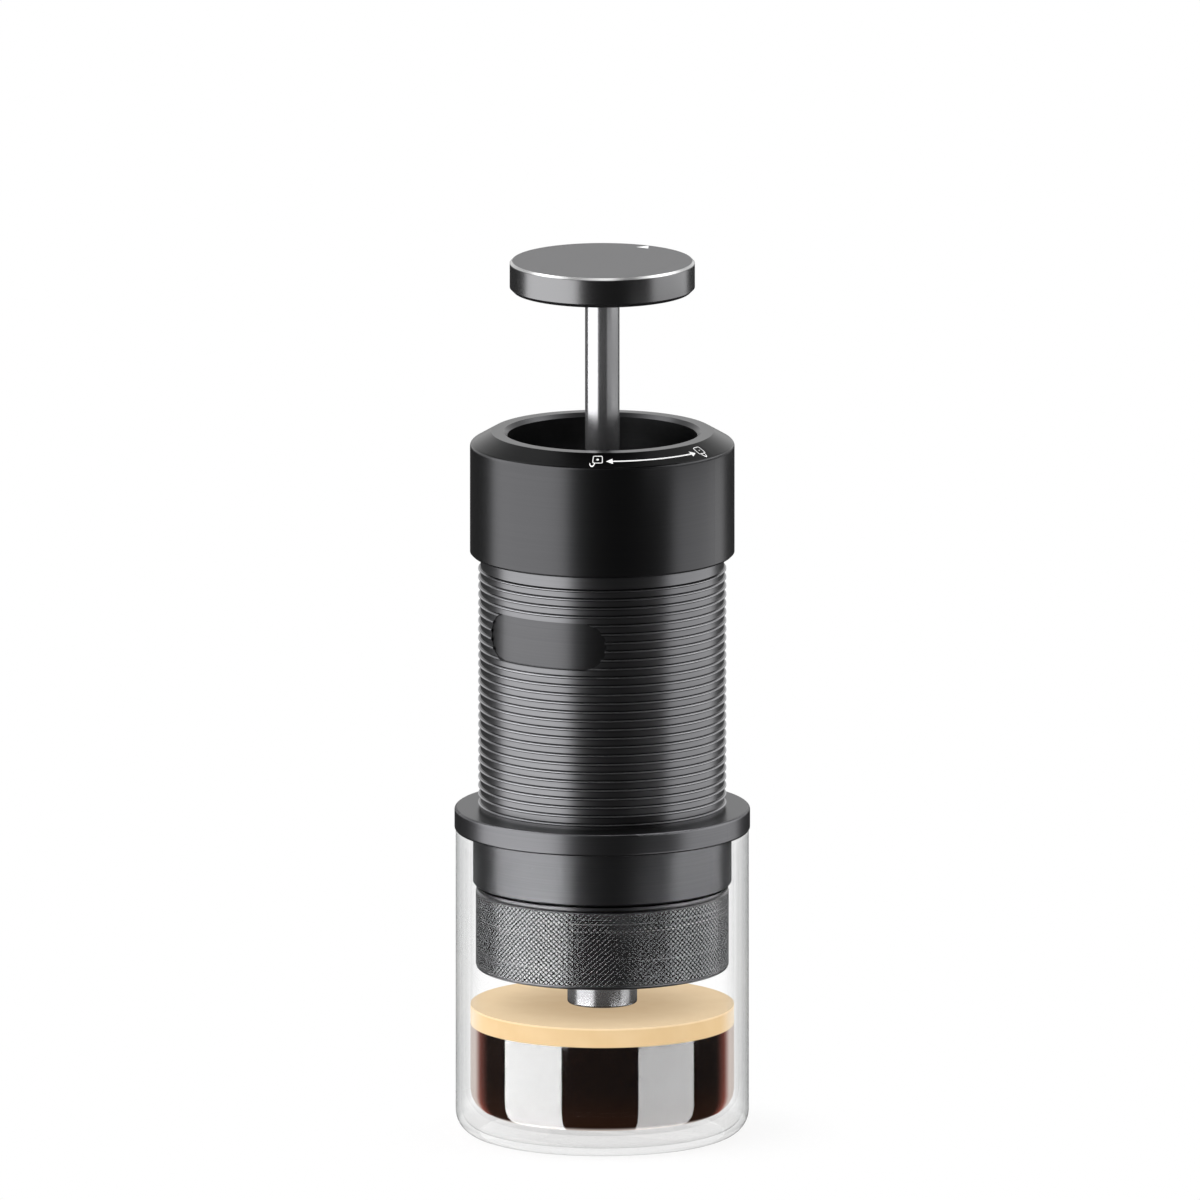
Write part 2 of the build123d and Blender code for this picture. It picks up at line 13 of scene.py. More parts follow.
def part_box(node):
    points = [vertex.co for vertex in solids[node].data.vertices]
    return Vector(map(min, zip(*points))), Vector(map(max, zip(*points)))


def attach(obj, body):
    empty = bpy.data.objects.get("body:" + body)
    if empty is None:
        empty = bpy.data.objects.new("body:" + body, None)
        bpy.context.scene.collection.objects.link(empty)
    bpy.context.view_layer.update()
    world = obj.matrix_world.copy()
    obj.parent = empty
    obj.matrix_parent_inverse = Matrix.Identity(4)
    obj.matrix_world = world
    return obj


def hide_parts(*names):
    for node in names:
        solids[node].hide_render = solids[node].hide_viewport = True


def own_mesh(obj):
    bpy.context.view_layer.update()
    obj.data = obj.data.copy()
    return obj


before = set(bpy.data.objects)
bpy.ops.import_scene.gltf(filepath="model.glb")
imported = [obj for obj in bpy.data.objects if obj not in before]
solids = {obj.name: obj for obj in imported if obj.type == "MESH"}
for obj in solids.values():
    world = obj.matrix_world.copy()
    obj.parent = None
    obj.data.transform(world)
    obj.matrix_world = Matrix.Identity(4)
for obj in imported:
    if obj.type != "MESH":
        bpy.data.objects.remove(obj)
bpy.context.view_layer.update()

MM = 0.001
Z_AXIS = (0, 0, 1)


# ---------------------------------------------------------------- sizes
def low(node):
    """The height of a piece's lowest point."""
    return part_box(node)[0].z / MM


def high(node):
    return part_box(node)[1].z / MM


def widest(node):
    """How far a turned piece reaches from the Z axis."""
    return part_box(node)[1].x / MM


cup_bore = 30.6
cup_floor = 5.3
# tighter than the cup's own corner, because the glass spreads what is behind it
coffee_corner = 5.1
crema_bottom = 25.9
crema_top = 30.2
meniscus_width = 0.5
meniscus_rise = 0.25
contents_gap = 0.03

knurl_root = widest("filter_holder") + 0.02
knurl_height = 0.08
knurl_groove = 0.14
knurl_bottom = low("filter_holder") + 0.75
knurl_top = low("filter_holder") + 18.2

cone_inner = 25.8
cone_slope = math.tan(math.radians(30))
cone_drop = 2.8


# ---------------------------------------------------------------- finishes
class Wire:
    """One output of a finish's nodes, so that sums on it read as plain expressions."""

    def __init__(self, finish, socket):
        self.finish = finish
        self.socket = socket

    def out(self, name):
        return Wire(self.finish, self.socket.node.outputs[name])

    def math(self, operation, *values):
        return self.finish.node("ShaderNodeMath", {"operation": operation}, dict(enumerate(values)))

    def __add__(self, other):
        return self.math("ADD", self, other)

    def __radd__(self, other):
        return self.math("ADD", other, self)

    def __sub__(self, other):
        return self.math("SUBTRACT", self, other)

    def __rsub__(self, other):
        return self.math("SUBTRACT", other, self)

    def __mul__(self, other):
        return self.math("MULTIPLY", self, other)

    def __rmul__(self, other):
        return self.math("MULTIPLY", other, self)

    def __truediv__(self, other):
        return self.math("DIVIDE", self, other)

    def __pow__(self, other):
        return self.math("POWER", self, other)

    def __gt__(self, other):
        return self.math("GREATER_THAN", self, other)

    def __lt__(self, other):
        return self.math("LESS_THAN", self, other)

    def larger(self, other):
        return self.math("MAXIMUM", self, other)

    def arcsine(self):
        return self.math("ARCSINE", self)

    def rise(self, start, end, shape="LINEAR"):
        """0 up to start, 1 from end on, and a ramp between them."""
        values = {"Value": self, "From Min": start, "From Max": end}
        return self.finish.node("ShaderNodeMapRange", {"interpolation_type": shape}, values)

    def smooth(self, start, end):
        """The same with a soft step for a ramp."""
        return self.rise(start, end, "SMOOTHSTEP")


class Finish:
    """A material, or the world's light, and the nodes in it."""

    def __init__(self, name, kind=bpy.data.materials):
        self.made = kind.new(name)
        self.made.use_nodes = True
        self.tree = self.made.node_tree
        self.tree.nodes.clear()

    def node(self, kind, settings=None, inputs=None, output=0):
        made = self.tree.nodes.new(kind)
        for name, value in (settings or {}).items():
            setattr(made, name, value)
        for name, value in (inputs or {}).items():
            if isinstance(value, Wire):
                self.tree.links.new(value.socket, made.inputs[name])
            else:
                made.inputs[name].default_value = value
        return Wire(self, made.outputs[output])

    def surface(self, shader, end="ShaderNodeOutputMaterial"):
        last = self.tree.nodes.new(end)
        self.tree.links.new(shader.socket, last.inputs["Surface"])
        return self.made

    def place(self):
        return self.node("ShaderNodeTexCoord").out("Object")

    def axes(self):
        xyz = self.node("ShaderNodeSeparateXYZ", {}, {0: self.place()})
        return xyz.out("X"), xyz.out("Y"), xyz.out("Z")

    def height(self):
        return self.axes()[2]

    def radius(self):
        x, y = self.axes()[:2]
        return (x * x + y * y) ** 0.5

    def outwards(self):
        """The level direction away from the Z axis, as a direction in the world."""
        values = {0: self.place(), 1: (1.0, 1.0, 0.0)}
        level = self.node("ShaderNodeVectorMath", {"operation": "MULTIPLY"}, values)
        turned = {"vector_type": "NORMAL", "convert_from": "OBJECT", "convert_to": "WORLD"}
        return self.node("ShaderNodeVectorTransform", turned, {"Vector": level})

    def turned_away(self, **normal):
        """0 where the surface faces the eye and 1 at its edge."""
        return self.node("ShaderNodeLayerWeight", {}, {"Blend": 0.5, **normal}, output=1)

    def noise(self, place, scale=1.0, detail=2.0, roughness=0.5):
        values = {"Vector": place, "Scale": scale, "Detail": detail, "Roughness": roughness}
        return self.node("ShaderNodeTexNoise", {}, values)

    def lathe_lines(self, along=8.0, across=2600.0):
        """Fine streaks round the Z axis, as a lathe or a brush leaves them."""
        x, y, z = self.axes()
        values = {0: self.radius() * across, 1: (x + y) * along, 2: z * across}
        return self.noise(self.node("ShaderNodeCombineXYZ", {}, values), detail=3.0, roughness=0.6)

    def mix_colour(self, factor, first, second):
        return self.node("ShaderNodeMix", {"data_type": "RGBA"}, {0: factor, 6: first, 7: second}, output=2)

    def bump(self, height, strength, distance):
        values = {"Height": height, "Strength": strength, "Distance": distance * MM}
        return self.node("ShaderNodeBump", {}, values)

    def glow(self, shade, strength=1.0):
        return self.node("ShaderNodeEmission", {}, {"Color": shade, "Strength": strength})


def colour(red, green=None, blue=None):
    return (red, red if green is None else green, red if blue is None else blue, 1.0)


def turned_metal(name, base, roughness, lines=0.05, depth=0.002, metallic=1.0, grazing=1.0, painted_shading=None):
    """Metal with the fine lines that a lathe or a brush leaves round the axis."""
    finish = Finish(name)
    line = finish.lathe_lines()
    dark = colour(*[part * (1 - lines) for part in base])
    pale = colour(*[part * (1 + lines) for part in base])
    shade = finish.mix_colour(line.smooth(0.3, 0.7), dark, pale)
    # where given, this scales the colour by painted shade and painted highlight
    if painted_shading:
        values = {0: shade, "Scale": painted_shading(finish)}
        shade = finish.node("ShaderNodeVectorMath", {"operation": "SCALE"}, values)
    shader = finish.node(
        "ShaderNodeBsdfPrincipled",
        {},
        {
            "Base Color": shade,
            "Metallic": metallic,
            "Specular Tint": colour(grazing),
            "Roughness": roughness * (1 - lines) + line * (2 * lines * roughness),
            "Normal": finish.bump(line, 0.25, depth),
        },
    )
    return finish.surface(shader)


def plain(name, base, roughness):
    finish = Finish(name)
    values = {"Base Color": colour(*base), "Roughness": roughness}
    return finish.surface(finish.node("ShaderNodeBsdfPrincipled", {}, values))


def grip_painted_shade_and_highlight(finish):
    """Duller on the sunk pad, with painted shade at the feet of the ribs and a painted highlight on their
    crests.
    """
    grip_low = low("grip_sleeve")
    y, z = finish.axes()[1:]
    depth = widest("grip_sleeve") * MM - finish.radius()
    ribs = z > (grip_low + 0.5) * MM
    pad = (depth > 0.62 * MM) * (z > (grip_low + 13.0) * MM) * (y < 0.0)
    # painted shade: the feet of the ribs are darkened where shade falls under them
    foot = (depth > 0.3 * MM) * (depth < 0.52 * MM) * ribs
    # painted highlight: the crests of the ribs are brightened
    crest = (depth < 0.24 * MM) * ribs
    return 1.0 - pad * 0.5 - foot * 0.75 + crest * 1.6


def knurl_painted_groove_shade(finish):
    """Dark in the cut lines between the knurl's diamonds: painted shade."""
    lower = knurl_root + knurl_height * 0.25
    upper = knurl_root + knurl_height * 0.875
    # painted shade: the lower a point lies in the grooves, the darker its colour
    return 0.3 + finish.radius().smooth(lower * MM, upper * MM) * 0.7


def collar_painted_cone_shade(finish):
    """Darker on the sloping top, between the rim and the side: painted shade."""
    cone_low = high("top_collar") - cone_drop
    cone = (finish.radius() > cone_inner * MM) * (finish.height() > cone_low * MM)
    # painted shade: the cone's colour is darkened
    return 1.0 - cone * 0.86


def glass_finish():
    """Thin clear glass: nothing face on, and a grey sheen where the outer wall turns away."""
    finish = Finish("clear_glass")
    outside = widest("glass_cup")
    facing = finish.turned_away()
    side_on = facing.smooth(0.42, 1.05)
    outer_wall = finish.radius().smooth((outside - 1.0) * MM, (outside - 0.4) * MM)
    thick_base = 1.0 - finish.height().smooth(2.0 * MM, 4.5 * MM)
    lower_edge = thick_base * facing.smooth(0.86, 0.99)
    share = side_on * (0.06 + outer_wall * 0.6 + thick_base * 0.12) + thick_base * 0.09 + lower_edge * 0.7
    clear = finish.node("ShaderNodeBsdfTransparent", {}, {"Color": colour(1.0)})
    values = {"Base Color": colour(0.3, 0.31, 0.31), "Roughness": 0.05, "IOR": 1.5}
    sheen = finish.node("ShaderNodeBsdfPrincipled", {}, values)
    return finish.surface(finish.node("ShaderNodeMixShader", {}, {0: share, 1: clear, 2: sheen}))


def coffee_finish():
    """Nearly black, with a painted glow where light would come through the thin coffee: low down and at its
    edges.
    """
    finish = Finish("coffee")
    z = finish.height()
    outwards = finish.outwards()
    edge = finish.turned_away(Normal=outwards)
    low_down = 1.0 - z.smooth(4.0 * MM, 17.0 * MM)
    deep = finish.mix_colour(low_down, colour(0.0), colour(0.012, 0.003, 0.0))
    red = finish.mix_colour(low_down, colour(0.2, 0.055, 0.04), colour(0.34, 0.09, 0.065))
    through = finish.mix_colour(edge.smooth(0.5, 0.72), deep, red)
    bottom_layer = 1.0 - z.smooth(cup_floor * MM, (cup_floor + 1.4) * MM)
    thinnest = edge.smooth(0.62, 0.76).larger(bottom_layer)
    shader = finish.node(
        "ShaderNodeBsdfPrincipled",
        {},
        {
            "Base Color": colour(0.006, 0.003, 0.002),
            "Roughness": 0.045,
            "IOR": 2.26,
            "Normal": outwards,
            # painted glow: the emission stands in for light coming through the thin coffee, palest where it
            # is thinnest
            "Emission Color": finish.mix_colour(thinnest, through, colour(0.6, 0.52, 0.48)),
            "Emission Strength": 1.0,
        },
    )
    return finish.surface(shader)


def crema_finish():
    """Fine foam with a painted glow: its side brighter towards its edges, its top brighter away from the
    spout, with painted shade under the spout.
    """
    finish = Finish("crema")
    place = finish.place()
    cloud = finish.noise(place, scale=160.0, detail=4.0).smooth(0.3, 0.75)
    edge = finish.turned_away(Normal=finish.outwards()).smooth(0.55, 0.85)
    side = finish.mix_colour(edge, colour(0.52, 0.37, 0.2), colour(0.6, 0.53, 0.44))
    # painted shade under the spout, fading out towards the cup wall
    painted_spout_shade_fade = finish.radius().smooth(8.0 * MM, 30.0 * MM)
    top = finish.mix_colour(painted_spout_shade_fade, colour(0.5, 0.37, 0.23), colour(0.64, 0.5, 0.33))
    on_top = finish.height().smooth((crema_top - 0.3) * MM, (crema_top - 0.1) * MM)
    shader = finish.node(
        "ShaderNodeBsdfPrincipled",
        {},
        {
            "Base Color": finish.mix_colour(cloud, colour(0.29, 0.205, 0.11), colour(0.32, 0.24, 0.145)),
            "Roughness": 0.6,
            "Specular IOR Level": 0.0,
            "Normal": finish.bump(finish.noise(place, scale=900.0), 0.1, 0.1),
            # painted glow: the emission brightens the crema's side and top
            "Emission Color": finish.mix_colour(on_top, side, top),
            "Emission Strength": 1.0,
        },
    )
    return finish.surface(shader)


def plate_finish():
    """Dark turned side, a finely brushed top face, and a bright cut chamfer between them."""
    finish = Finish("grey_anodised")
    top = high("plunger_plate")
    z = finish.height()
    line = finish.lathe_lines()
    face = z.smooth((top - 0.04) * MM, (top - 0.01) * MM)
    cut = z.smooth((top - 0.52) * MM, (top - 0.47) * MM) * (1.0 - face)
    shade = finish.mix_colour(face, colour(0.147, 0.147, 0.15), colour(0.14, 0.14, 0.142))
    shader = finish.node(
        "ShaderNodeBsdfPrincipled",
        {},
        {
            "Base Color": finish.mix_colour(cut, shade, colour(0.5)),
            "Metallic": 1.0 - face * 0.9,
            "Roughness": 0.24 + line * 0.04 + face * 0.3,
            "Specular IOR Level": 0.05,
            "Normal": finish.bump(line, 0.2, 0.002),
        },
    )
    return finish.surface(shader)


dark_anodised = turned_metal("dark_anodised", (0.125, 0.125, 0.13), 0.3, painted_shading=grip_painted_shade_and_highlight)
head_anodised = turned_metal("head_anodised", (0.105, 0.105, 0.11), 0.3, grazing=0.75)
knurled = turned_metal("knurled_anodised", (0.19, 0.19, 0.195), 0.27, painted_shading=knurl_painted_groove_shade)
black_anodised = turned_metal("black_anodised", (0.05, 0.05, 0.052), 0.3, lines=0.03, painted_shading=collar_painted_cone_shade)
drawn_steel = turned_metal("drawn_steel", (0.62, 0.62, 0.63), 0.28)
turned_steel = turned_metal("turned_steel", (0.6, 0.6, 0.6), 0.25, lines=0.08, depth=0.006)
polished_steel = turned_metal("polished_steel", (0.42, 0.42, 0.43), 0.2, lines=0.03, metallic=0.9)
spout_steel = turned_metal("spout_steel", (0.33, 0.33, 0.34), 0.24, lines=0.03, metallic=0.85)
black_moulding = plain("black_moulding", (0.03, 0.03, 0.03), 0.5)
silicone = plain("silicone", (0.62, 0.6, 0.56), 0.6)
white_ink = plain("white_ink", (0.85, 0.85, 0.85), 0.5)

gaskets = ["tank_washer", "group_gasket", "head_gasket", "spout_seal"]
sliding_seals = ["spigot_oring", "rod_wiper", "piston_seal"]
valves = ["inlet_valve", "outlet_valve"]
pieces_by_finish = (
    (glass_finish(), ["glass_cup"]),
    (head_anodised, ["brew_head"]),
    (dark_anodised, ["grip_sleeve", "filter_holder"]),
    (black_anodised, ["top_collar"]),
    (plate_finish(), ["plunger_plate"]),
    (polished_steel, ["plunger_rod"]),
    (spout_steel, ["spout"]),
    (drawn_steel, ["water_tank", "pump_cylinder", "filter_basket", "shower_screen"]),
    (turned_steel, ["tank_nut", "lock_post", "cap_screws", "return_spring"]),
    (black_moulding, ["pump_foot", "guide_bush", "piston_head"]),
    (silicone, gaskets + sliding_seals + valves),
)
for finish, nodes in pieces_by_finish:
    for node in nodes:
        solids[node].data.materials.clear()
        solids[node].data.materials.append(finish)


# ---------------------------------------------------------------- making pieces
def in_scene(name, mesh, finish):
    """Turn a bmesh into an object in one finish."""
    data = bpy.data.meshes.new(name)
    mesh.to_mesh(data)
    mesh.free()
    data.materials.append(finish)
    made = bpy.data.objects.new(name, data)
    bpy.context.scene.collection.objects.link(made)
    return made


def piece(name, mesh, finish, body, smooth=True):
    """A piece that rides on a body; edges of more than 30 degrees stay sharp."""
    bmesh.ops.recalc_face_normals(mesh, faces=mesh.faces)
    for face in mesh.faces:
        face.smooth = smooth
    for edge in mesh.edges:
        edge.smooth = edge.calc_face_angle(0.0) < math.radians(30)
    made = in_scene(name, mesh, finish)
    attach(made, body)
    return made


def spun(outline, steps=128):
    """Spin an outline of (radius, height) points once round the Z axis."""
    mesh = bmesh.new()
    points = [mesh.verts.new((radius * MM, 0, height * MM)) for radius, height in outline]
    edges = [mesh.edges.new(pair) for pair in zip(points, points[1:] + points[:1])]
    bmesh.ops.spin(
        mesh,
        geom=points + edges,
        cent=(0, 0, 0),
        axis=Z_AXIS,
        angle=math.tau,
        steps=steps,
        use_merge=True,
    )
    bmesh.ops.remove_doubles(mesh, verts=mesh.verts, dist=1e-6)
    return mesh


# ---------------------------------------------------------------- coffee in the cup
def quarter_round(middle_radius, middle_height, size, steps=5):
    """Outline points of a rounded corner, from the floor to the wall."""
    turns = [math.pi / 2 * step / steps for step in range(steps + 1)]
    return [(middle_radius + size * math.sin(turn), middle_height - size * math.cos(turn)) for turn in turns]


contents_wall = cup_bore - contents_gap
contents_floor = cup_floor + contents_gap
coffee_outline = [
    (0, contents_floor),
    *quarter_round(contents_wall - coffee_corner, contents_floor + coffee_corner, coffee_corner),
    (contents_wall, crema_bottom),
    (0, crema_bottom),
]
crema_outline = [
    (0, crema_bottom),
    (contents_wall, crema_bottom),
    (contents_wall, crema_top + meniscus_rise),
    (contents_wall - meniscus_width, crema_top),
    (0, crema_top),
]
coffee = piece("coffee", spun(coffee_outline), coffee_finish(), "cup")
crema = piece("crema", spun(crema_outline), crema_finish(), "cup")
# the spout above them shows the room, not them
coffee.visible_glossy = False
crema.visible_glossy = False


# ---------------------------------------------------------------- knurl on the filter holder
def knurl(radius, bottom, top, round_count, row_count, groove, height):
    """A skin of raised diamonds: a square grid is poked, its own lines go, and each diamond is inset."""
    mesh = bmesh.new()
    bmesh.ops.create_cone(
        mesh,
        cap_ends=False,
        segments=round_count,
        radius1=radius * MM,
        radius2=radius * MM,
        depth=(top - bottom) * MM,
        matrix=Matrix.Translation((0, 0, (top + bottom) / 2 * MM)),
    )
    upright = [edge for edge in mesh.edges if edge.calc_length() > (top - bottom) / 2 * MM]
    bmesh.ops.subdivide_edges(mesh, edges=upright, cuts=row_count - 1, use_grid_fill=True)
    grid = list(mesh.edges)
    bmesh.ops.poke(mesh, faces=mesh.faces)
    bmesh.ops.dissolve_edges(mesh, edges=[edge for edge in grid if len(edge.link_faces) == 2])
    bmesh.ops.recalc_face_normals(mesh, faces=mesh.faces)
    bmesh.ops.inset_individual(
        mesh, faces=mesh.faces, thickness=groove * MM, depth=height * MM, use_even_offset=True
    )
    return mesh


knurl_mesh = knurl(
    knurl_root,
    knurl_bottom,
    knurl_top,
    round_count=140,
    row_count=15,
    groove=knurl_groove,
    height=knurl_height,
)
piece("holder_knurl", knurl_mesh, knurled, "filter_holder", smooth=False)


# ---------------------------------------------------------------- screw threads
def thread(radius, height, pitch, start, turns, steps_per_turn=96):
    """One ridge wound round the Z axis, with its foot a little way into the wall that carries it."""
    mesh = bmesh.new()
    half = pitch * 0.36
    foot, crest = radius - 0.1, radius + height
    corners = [(foot, -half), (crest, -half / 4), (crest, half / 4), (foot, half)]
    ridge = mesh.faces.new([mesh.verts.new((out * MM, 0, (start + up) * MM)) for out, up in corners])
    bmesh.ops.spin(
        mesh,
        geom=[ridge],
        cent=(0, 0, 0),
        axis=Z_AXIS,
        dvec=(0, 0, pitch * MM / steps_per_turn),
        angle=math.tau * turns,
        steps=int(steps_per_turn * turns),
    )
    return mesh


thread_pitch = 1.8
neck_radius = 24.9
tank_start = high("water_tank") - 7.2
neck_start = high("filter_holder") - 6.6
tank_ridge = thread(widest("water_tank"), 0.5, thread_pitch, tank_start, turns=3.25)
neck_ridge = thread(neck_radius, 0.3, thread_pitch, neck_start, turns=3.0)
piece("tank_thread", tank_ridge, drawn_steel, "maker")
piece("holder_thread", neck_ridge, dark_anodised, "filter_holder")


# ---------------------------------------------------------------- return spring
def spring(radius, wire, bottom, top, turns, steps_per_turn=40):
    """A round wire wound from one end of the spring to the other."""
    mesh = bmesh.new()
    rise = top - bottom - wire
    upright = Matrix.Rotation(math.pi / 2, 4, "X")
    bmesh.ops.create_circle(
        mesh,
        cap_ends=True,
        segments=10,
        radius=wire / 2 * MM,
        matrix=Matrix.Translation((radius * MM, 0, (bottom + wire / 2) * MM)) @ upright,
    )
    bmesh.ops.spin(
        mesh,
        geom=list(mesh.faces),
        cent=(0, 0, 0),
        axis=Z_AXIS,
        dvec=(0, 0, rise * MM / (turns * steps_per_turn)),
        angle=math.tau * turns,
        steps=int(turns * steps_per_turn),
    )
    return mesh


coil_radius = 7.6
coil_wire = 1.0
coil_mesh = spring(coil_radius, coil_wire, low("return_spring"), high("return_spring"), turns=8.5)
coil = piece("coil_spring", coil_mesh, turned_steel, "pump_head")
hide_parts("return_spring")
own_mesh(coil)


# ---------------------------------------------------------------- marks
mark_height = 0.04
mark_root = 0.02


def lay_on_cone(mesh, mark_angle, radius):
    """Bend a flat mark, drawn in millimetres with y outwards, onto the collar's cone."""
    mesh.normal_update()
    bmesh.ops.reverse_faces(mesh, faces=[face for face in mesh.faces if face.normal.z < 0])
    bmesh.ops.solidify(mesh, geom=list(mesh.faces), thickness=mark_height)
    middle = sum(vert.co.z for vert in mesh.verts) / len(mesh.verts)
    for vert in mesh.verts:
        along, out, up = vert.co
        turn = math.radians(mark_angle) + along / radius
        reach = radius + out / math.hypot(1, cone_slope)
        surface = high("top_collar") - (reach - cone_inner) * cone_slope
        rise = surface + (mark_height if up > middle else -mark_root)
        vert.co = Vector((math.sin(turn) * reach, -math.cos(turn) * reach, rise)) * MM
    return mesh


def add_shackle(mesh, middle, radius, width, height):
    """A flat U swept from a short line as half a ring, and drawn out to its height."""
    centre = Vector((middle[0], middle[1], 0))
    ends = [mesh.verts.new(centre + Vector((radius + side * width / 2, 0, 0))) for side in (-1, 1)]
    line = mesh.edges.new(ends)
    kept = set(mesh.verts) - set(ends)
    bmesh.ops.spin(mesh, geom=ends + [line], cent=centre, axis=Z_AXIS, angle=math.pi, steps=10)
    half_ring = [vert for vert in mesh.verts if vert not in kept]
    stretch = Matrix.Translation(-centre)
    bmesh.ops.scale(mesh, vec=(1, height / (radius + width / 2), 1), space=stretch, verts=half_ring)


def add_frame(mesh, wide, tall, corner, width):
    """A rounded rectangle drawn as an outline."""
    verts = bmesh.ops.create_grid(mesh, x_segments=1, y_segments=1, size=0.5)["verts"]
    bmesh.ops.scale(mesh, vec=(wide, tall, 1), verts=verts)
    bmesh.ops.bevel(
        mesh, geom=verts, affect="VERTICES", offset=corner, segments=3, profile=0.5, material=-1
    )
    sides = [edge for edge in mesh.edges if edge.calc_length() > wide / 3]
    bmesh.ops.subdivide_edges(mesh, edges=sides, cuts=3)
    face = max(mesh.faces, key=lambda f: f.calc_area())
    bmesh.ops.inset_region(mesh, faces=[face], thickness=width, use_boundary=True, use_even_offset=True)
    bmesh.ops.delete(mesh, geom=[face], context="FACES_ONLY")


def padlock(wide, tall, shackle_shift, keyhole):
    """A frame with a keyhole dot and a shackle, which is shifted to one side on the open lock."""
    line = 0.18
    mesh = bmesh.new()
    add_frame(mesh, wide, tall, corner=0.45, width=line)
    bmesh.ops.create_circle(mesh, cap_ends=True, segments=12, radius=keyhole)
    add_shackle(mesh, (shackle_shift, tall / 2), radius=0.52, width=line, height=1.3)
    return mesh


def arrow(length, width, head_length, head_width):
    """A long strip with a head at each end."""
    mesh = bmesh.new()
    strip = bmesh.ops.create_grid(mesh, x_segments=40, y_segments=1, size=0.5)["verts"]
    bmesh.ops.scale(mesh, vec=(length - head_length, width, 1), verts=strip)
    for side in (-1, 1):
        head = bmesh.ops.create_circle(mesh, cap_ends=True, segments=3, radius=1.0)["verts"]
        outwards = Matrix.Rotation(math.pi / 2 * -side, 3, "Z")
        bmesh.ops.rotate(mesh, cent=(0, 0, 0), matrix=outwards, verts=head)
        bmesh.ops.scale(mesh, vec=(head_length / 1.5, head_width / math.sqrt(3), 1), verts=head)
        bmesh.ops.translate(mesh, vec=(side * (length / 2 - head_length / 1.5), 0, 0), verts=head)
    return mesh


def plate_triangle(size, from_axis):
    """A small triangle that points outwards, laid on the palm plate."""
    mesh = bmesh.new()
    corners = bmesh.ops.create_circle(mesh, cap_ends=True, segments=3, radius=size * MM)["verts"]
    top = (high("plunger_plate") + mark_height / 2) * MM
    bmesh.ops.translate(mesh, vec=(0, from_axis * MM, top), verts=corners)
    bmesh.ops.solidify(mesh, geom=list(mesh.faces), thickness=mark_height * MM)
    return mesh


arrow_radius = 28.4
arrow_sweep = math.radians(47.7)
turn_arrow = arrow(arrow_sweep * arrow_radius, width=0.36, head_length=1.5, head_width=1.8)
open_lock = padlock(2.35, 2.6, shackle_shift=-1.2, keyhole=0.3)
closed_lock = padlock(2.4, 2.5, shackle_shift=0.0, keyhole=0.12)
for name, mark, angle, radius in (
    ("mark_open_lock", open_lock, 29.3, 27.85),
    ("mark_closed_lock", closed_lock, 85, 27.95),
    ("mark_arrow", turn_arrow, 57.2, arrow_radius),
):
    piece(name, lay_on_cone(mark, angle, radius), white_ink, "pump_head", smooth=False)
piece("mark_plate", plate_triangle(1.87, from_axis=18.7), white_ink, "plunger", smooth=False)


# ---------------------------------------------------------------- camera, in metres
camera_azimuth = math.radians(31.5)
camera_elevation = math.radians(11.25)
camera_distance = 2.0
frame_width = 0.2784
aim = Vector((0, 0, 0.1258))
shift_right = 0.00053


def heading(azimuth, elevation=0.0):
    """Unit vector; azimuth is measured from -Y towards +X."""
    flat = math.cos(elevation)
    return Vector((math.sin(azimuth) * flat, -math.cos(azimuth) * flat, math.sin(elevation)))


def beside_camera(degrees):
    """The azimuth of something in the studio, counted from the camera's."""
    return camera_azimuth + math.radians(degrees)


back = heading(camera_azimuth, camera_elevation)
right = heading(beside_camera(90))
lens = bpy.data.cameras.new("camera")
lens.type = "ORTHO"
lens.ortho_scale = frame_width
camera = bpy.data.objects.new("camera", lens)
bpy.context.scene.collection.objects.link(camera)
camera.rotation_mode = "QUATERNION"
camera.rotation_quaternion = (-back).to_track_quat("-Z", "Y")
camera.location = aim + back * camera_distance - right * shift_right
bpy.context.scene.camera = camera


# ---------------------------------------------------------------- studio, in metres
def softbox(name, azimuth, elevation, distance, size, radiance, aim_height, spill=0.6):
    """A large soft lamp; radiance is what its face shows, and spill what it gives to matt surfaces."""
    width, height = size
    lamp = bpy.data.lights.new(name, "AREA")
    lamp.shape = "RECTANGLE"
    lamp.size = width
    lamp.size_y = height
    lamp.energy = radiance * math.pi * width * height
    lamp.diffuse_factor = spill
    made = bpy.data.objects.new(name, lamp)
    bpy.context.scene.collection.objects.link(made)
    away = heading(beside_camera(azimuth), math.radians(elevation))
    made.location = Vector((0, 0, aim_height)) + away * distance
    made.rotation_mode = "QUATERNION"
    made.rotation_quaternion = away.to_track_quat("Z", "Y")
    made.visible_camera = False


wide_box = (1.34, 1.9)
narrow_box = (1.04, 1.9)
over_box = (0.45, 0.45)
softbox("softbox_left", -70, 0, 0.8, wide_box, radiance=3.0, aim_height=0.35)
softbox("softbox_right", 97, 0, 0.8, narrow_box, radiance=1.8, aim_height=0.35)
softbox("softbox_top", 0, 90, 1.1, (0.5, 0.5), radiance=2.4, aim_height=0.1)
softbox("softbox_over_left", -118, 58, 1.0, over_box, radiance=3.4, aim_height=0.12, spill=0.0)
softbox("softbox_over_right", 118, 58, 1.0, over_box, radiance=2.2, aim_height=0.12, spill=0.0)


def studio_world():
    """White where it is seen or mirrored, and a weaker even light on everything else."""
    world = Finish("studio", bpy.data.worlds)
    path = world.node("ShaderNodeLightPath")
    seen = path.out("Is Camera Ray").larger(path.out("Is Transmission Ray")).larger(path.out("Is Glossy Ray"))
    ambient = world.node("ShaderNodeBackground", {}, {"Color": colour(1.0), "Strength": 0.4})
    white = world.node("ShaderNodeBackground", {}, {"Color": colour(1.0), "Strength": 1.0})
    mixed = world.node("ShaderNodeMixShader", {}, {0: seen, 1: ambient, 2: white})
    return world.surface(mixed, "ShaderNodeOutputWorld")


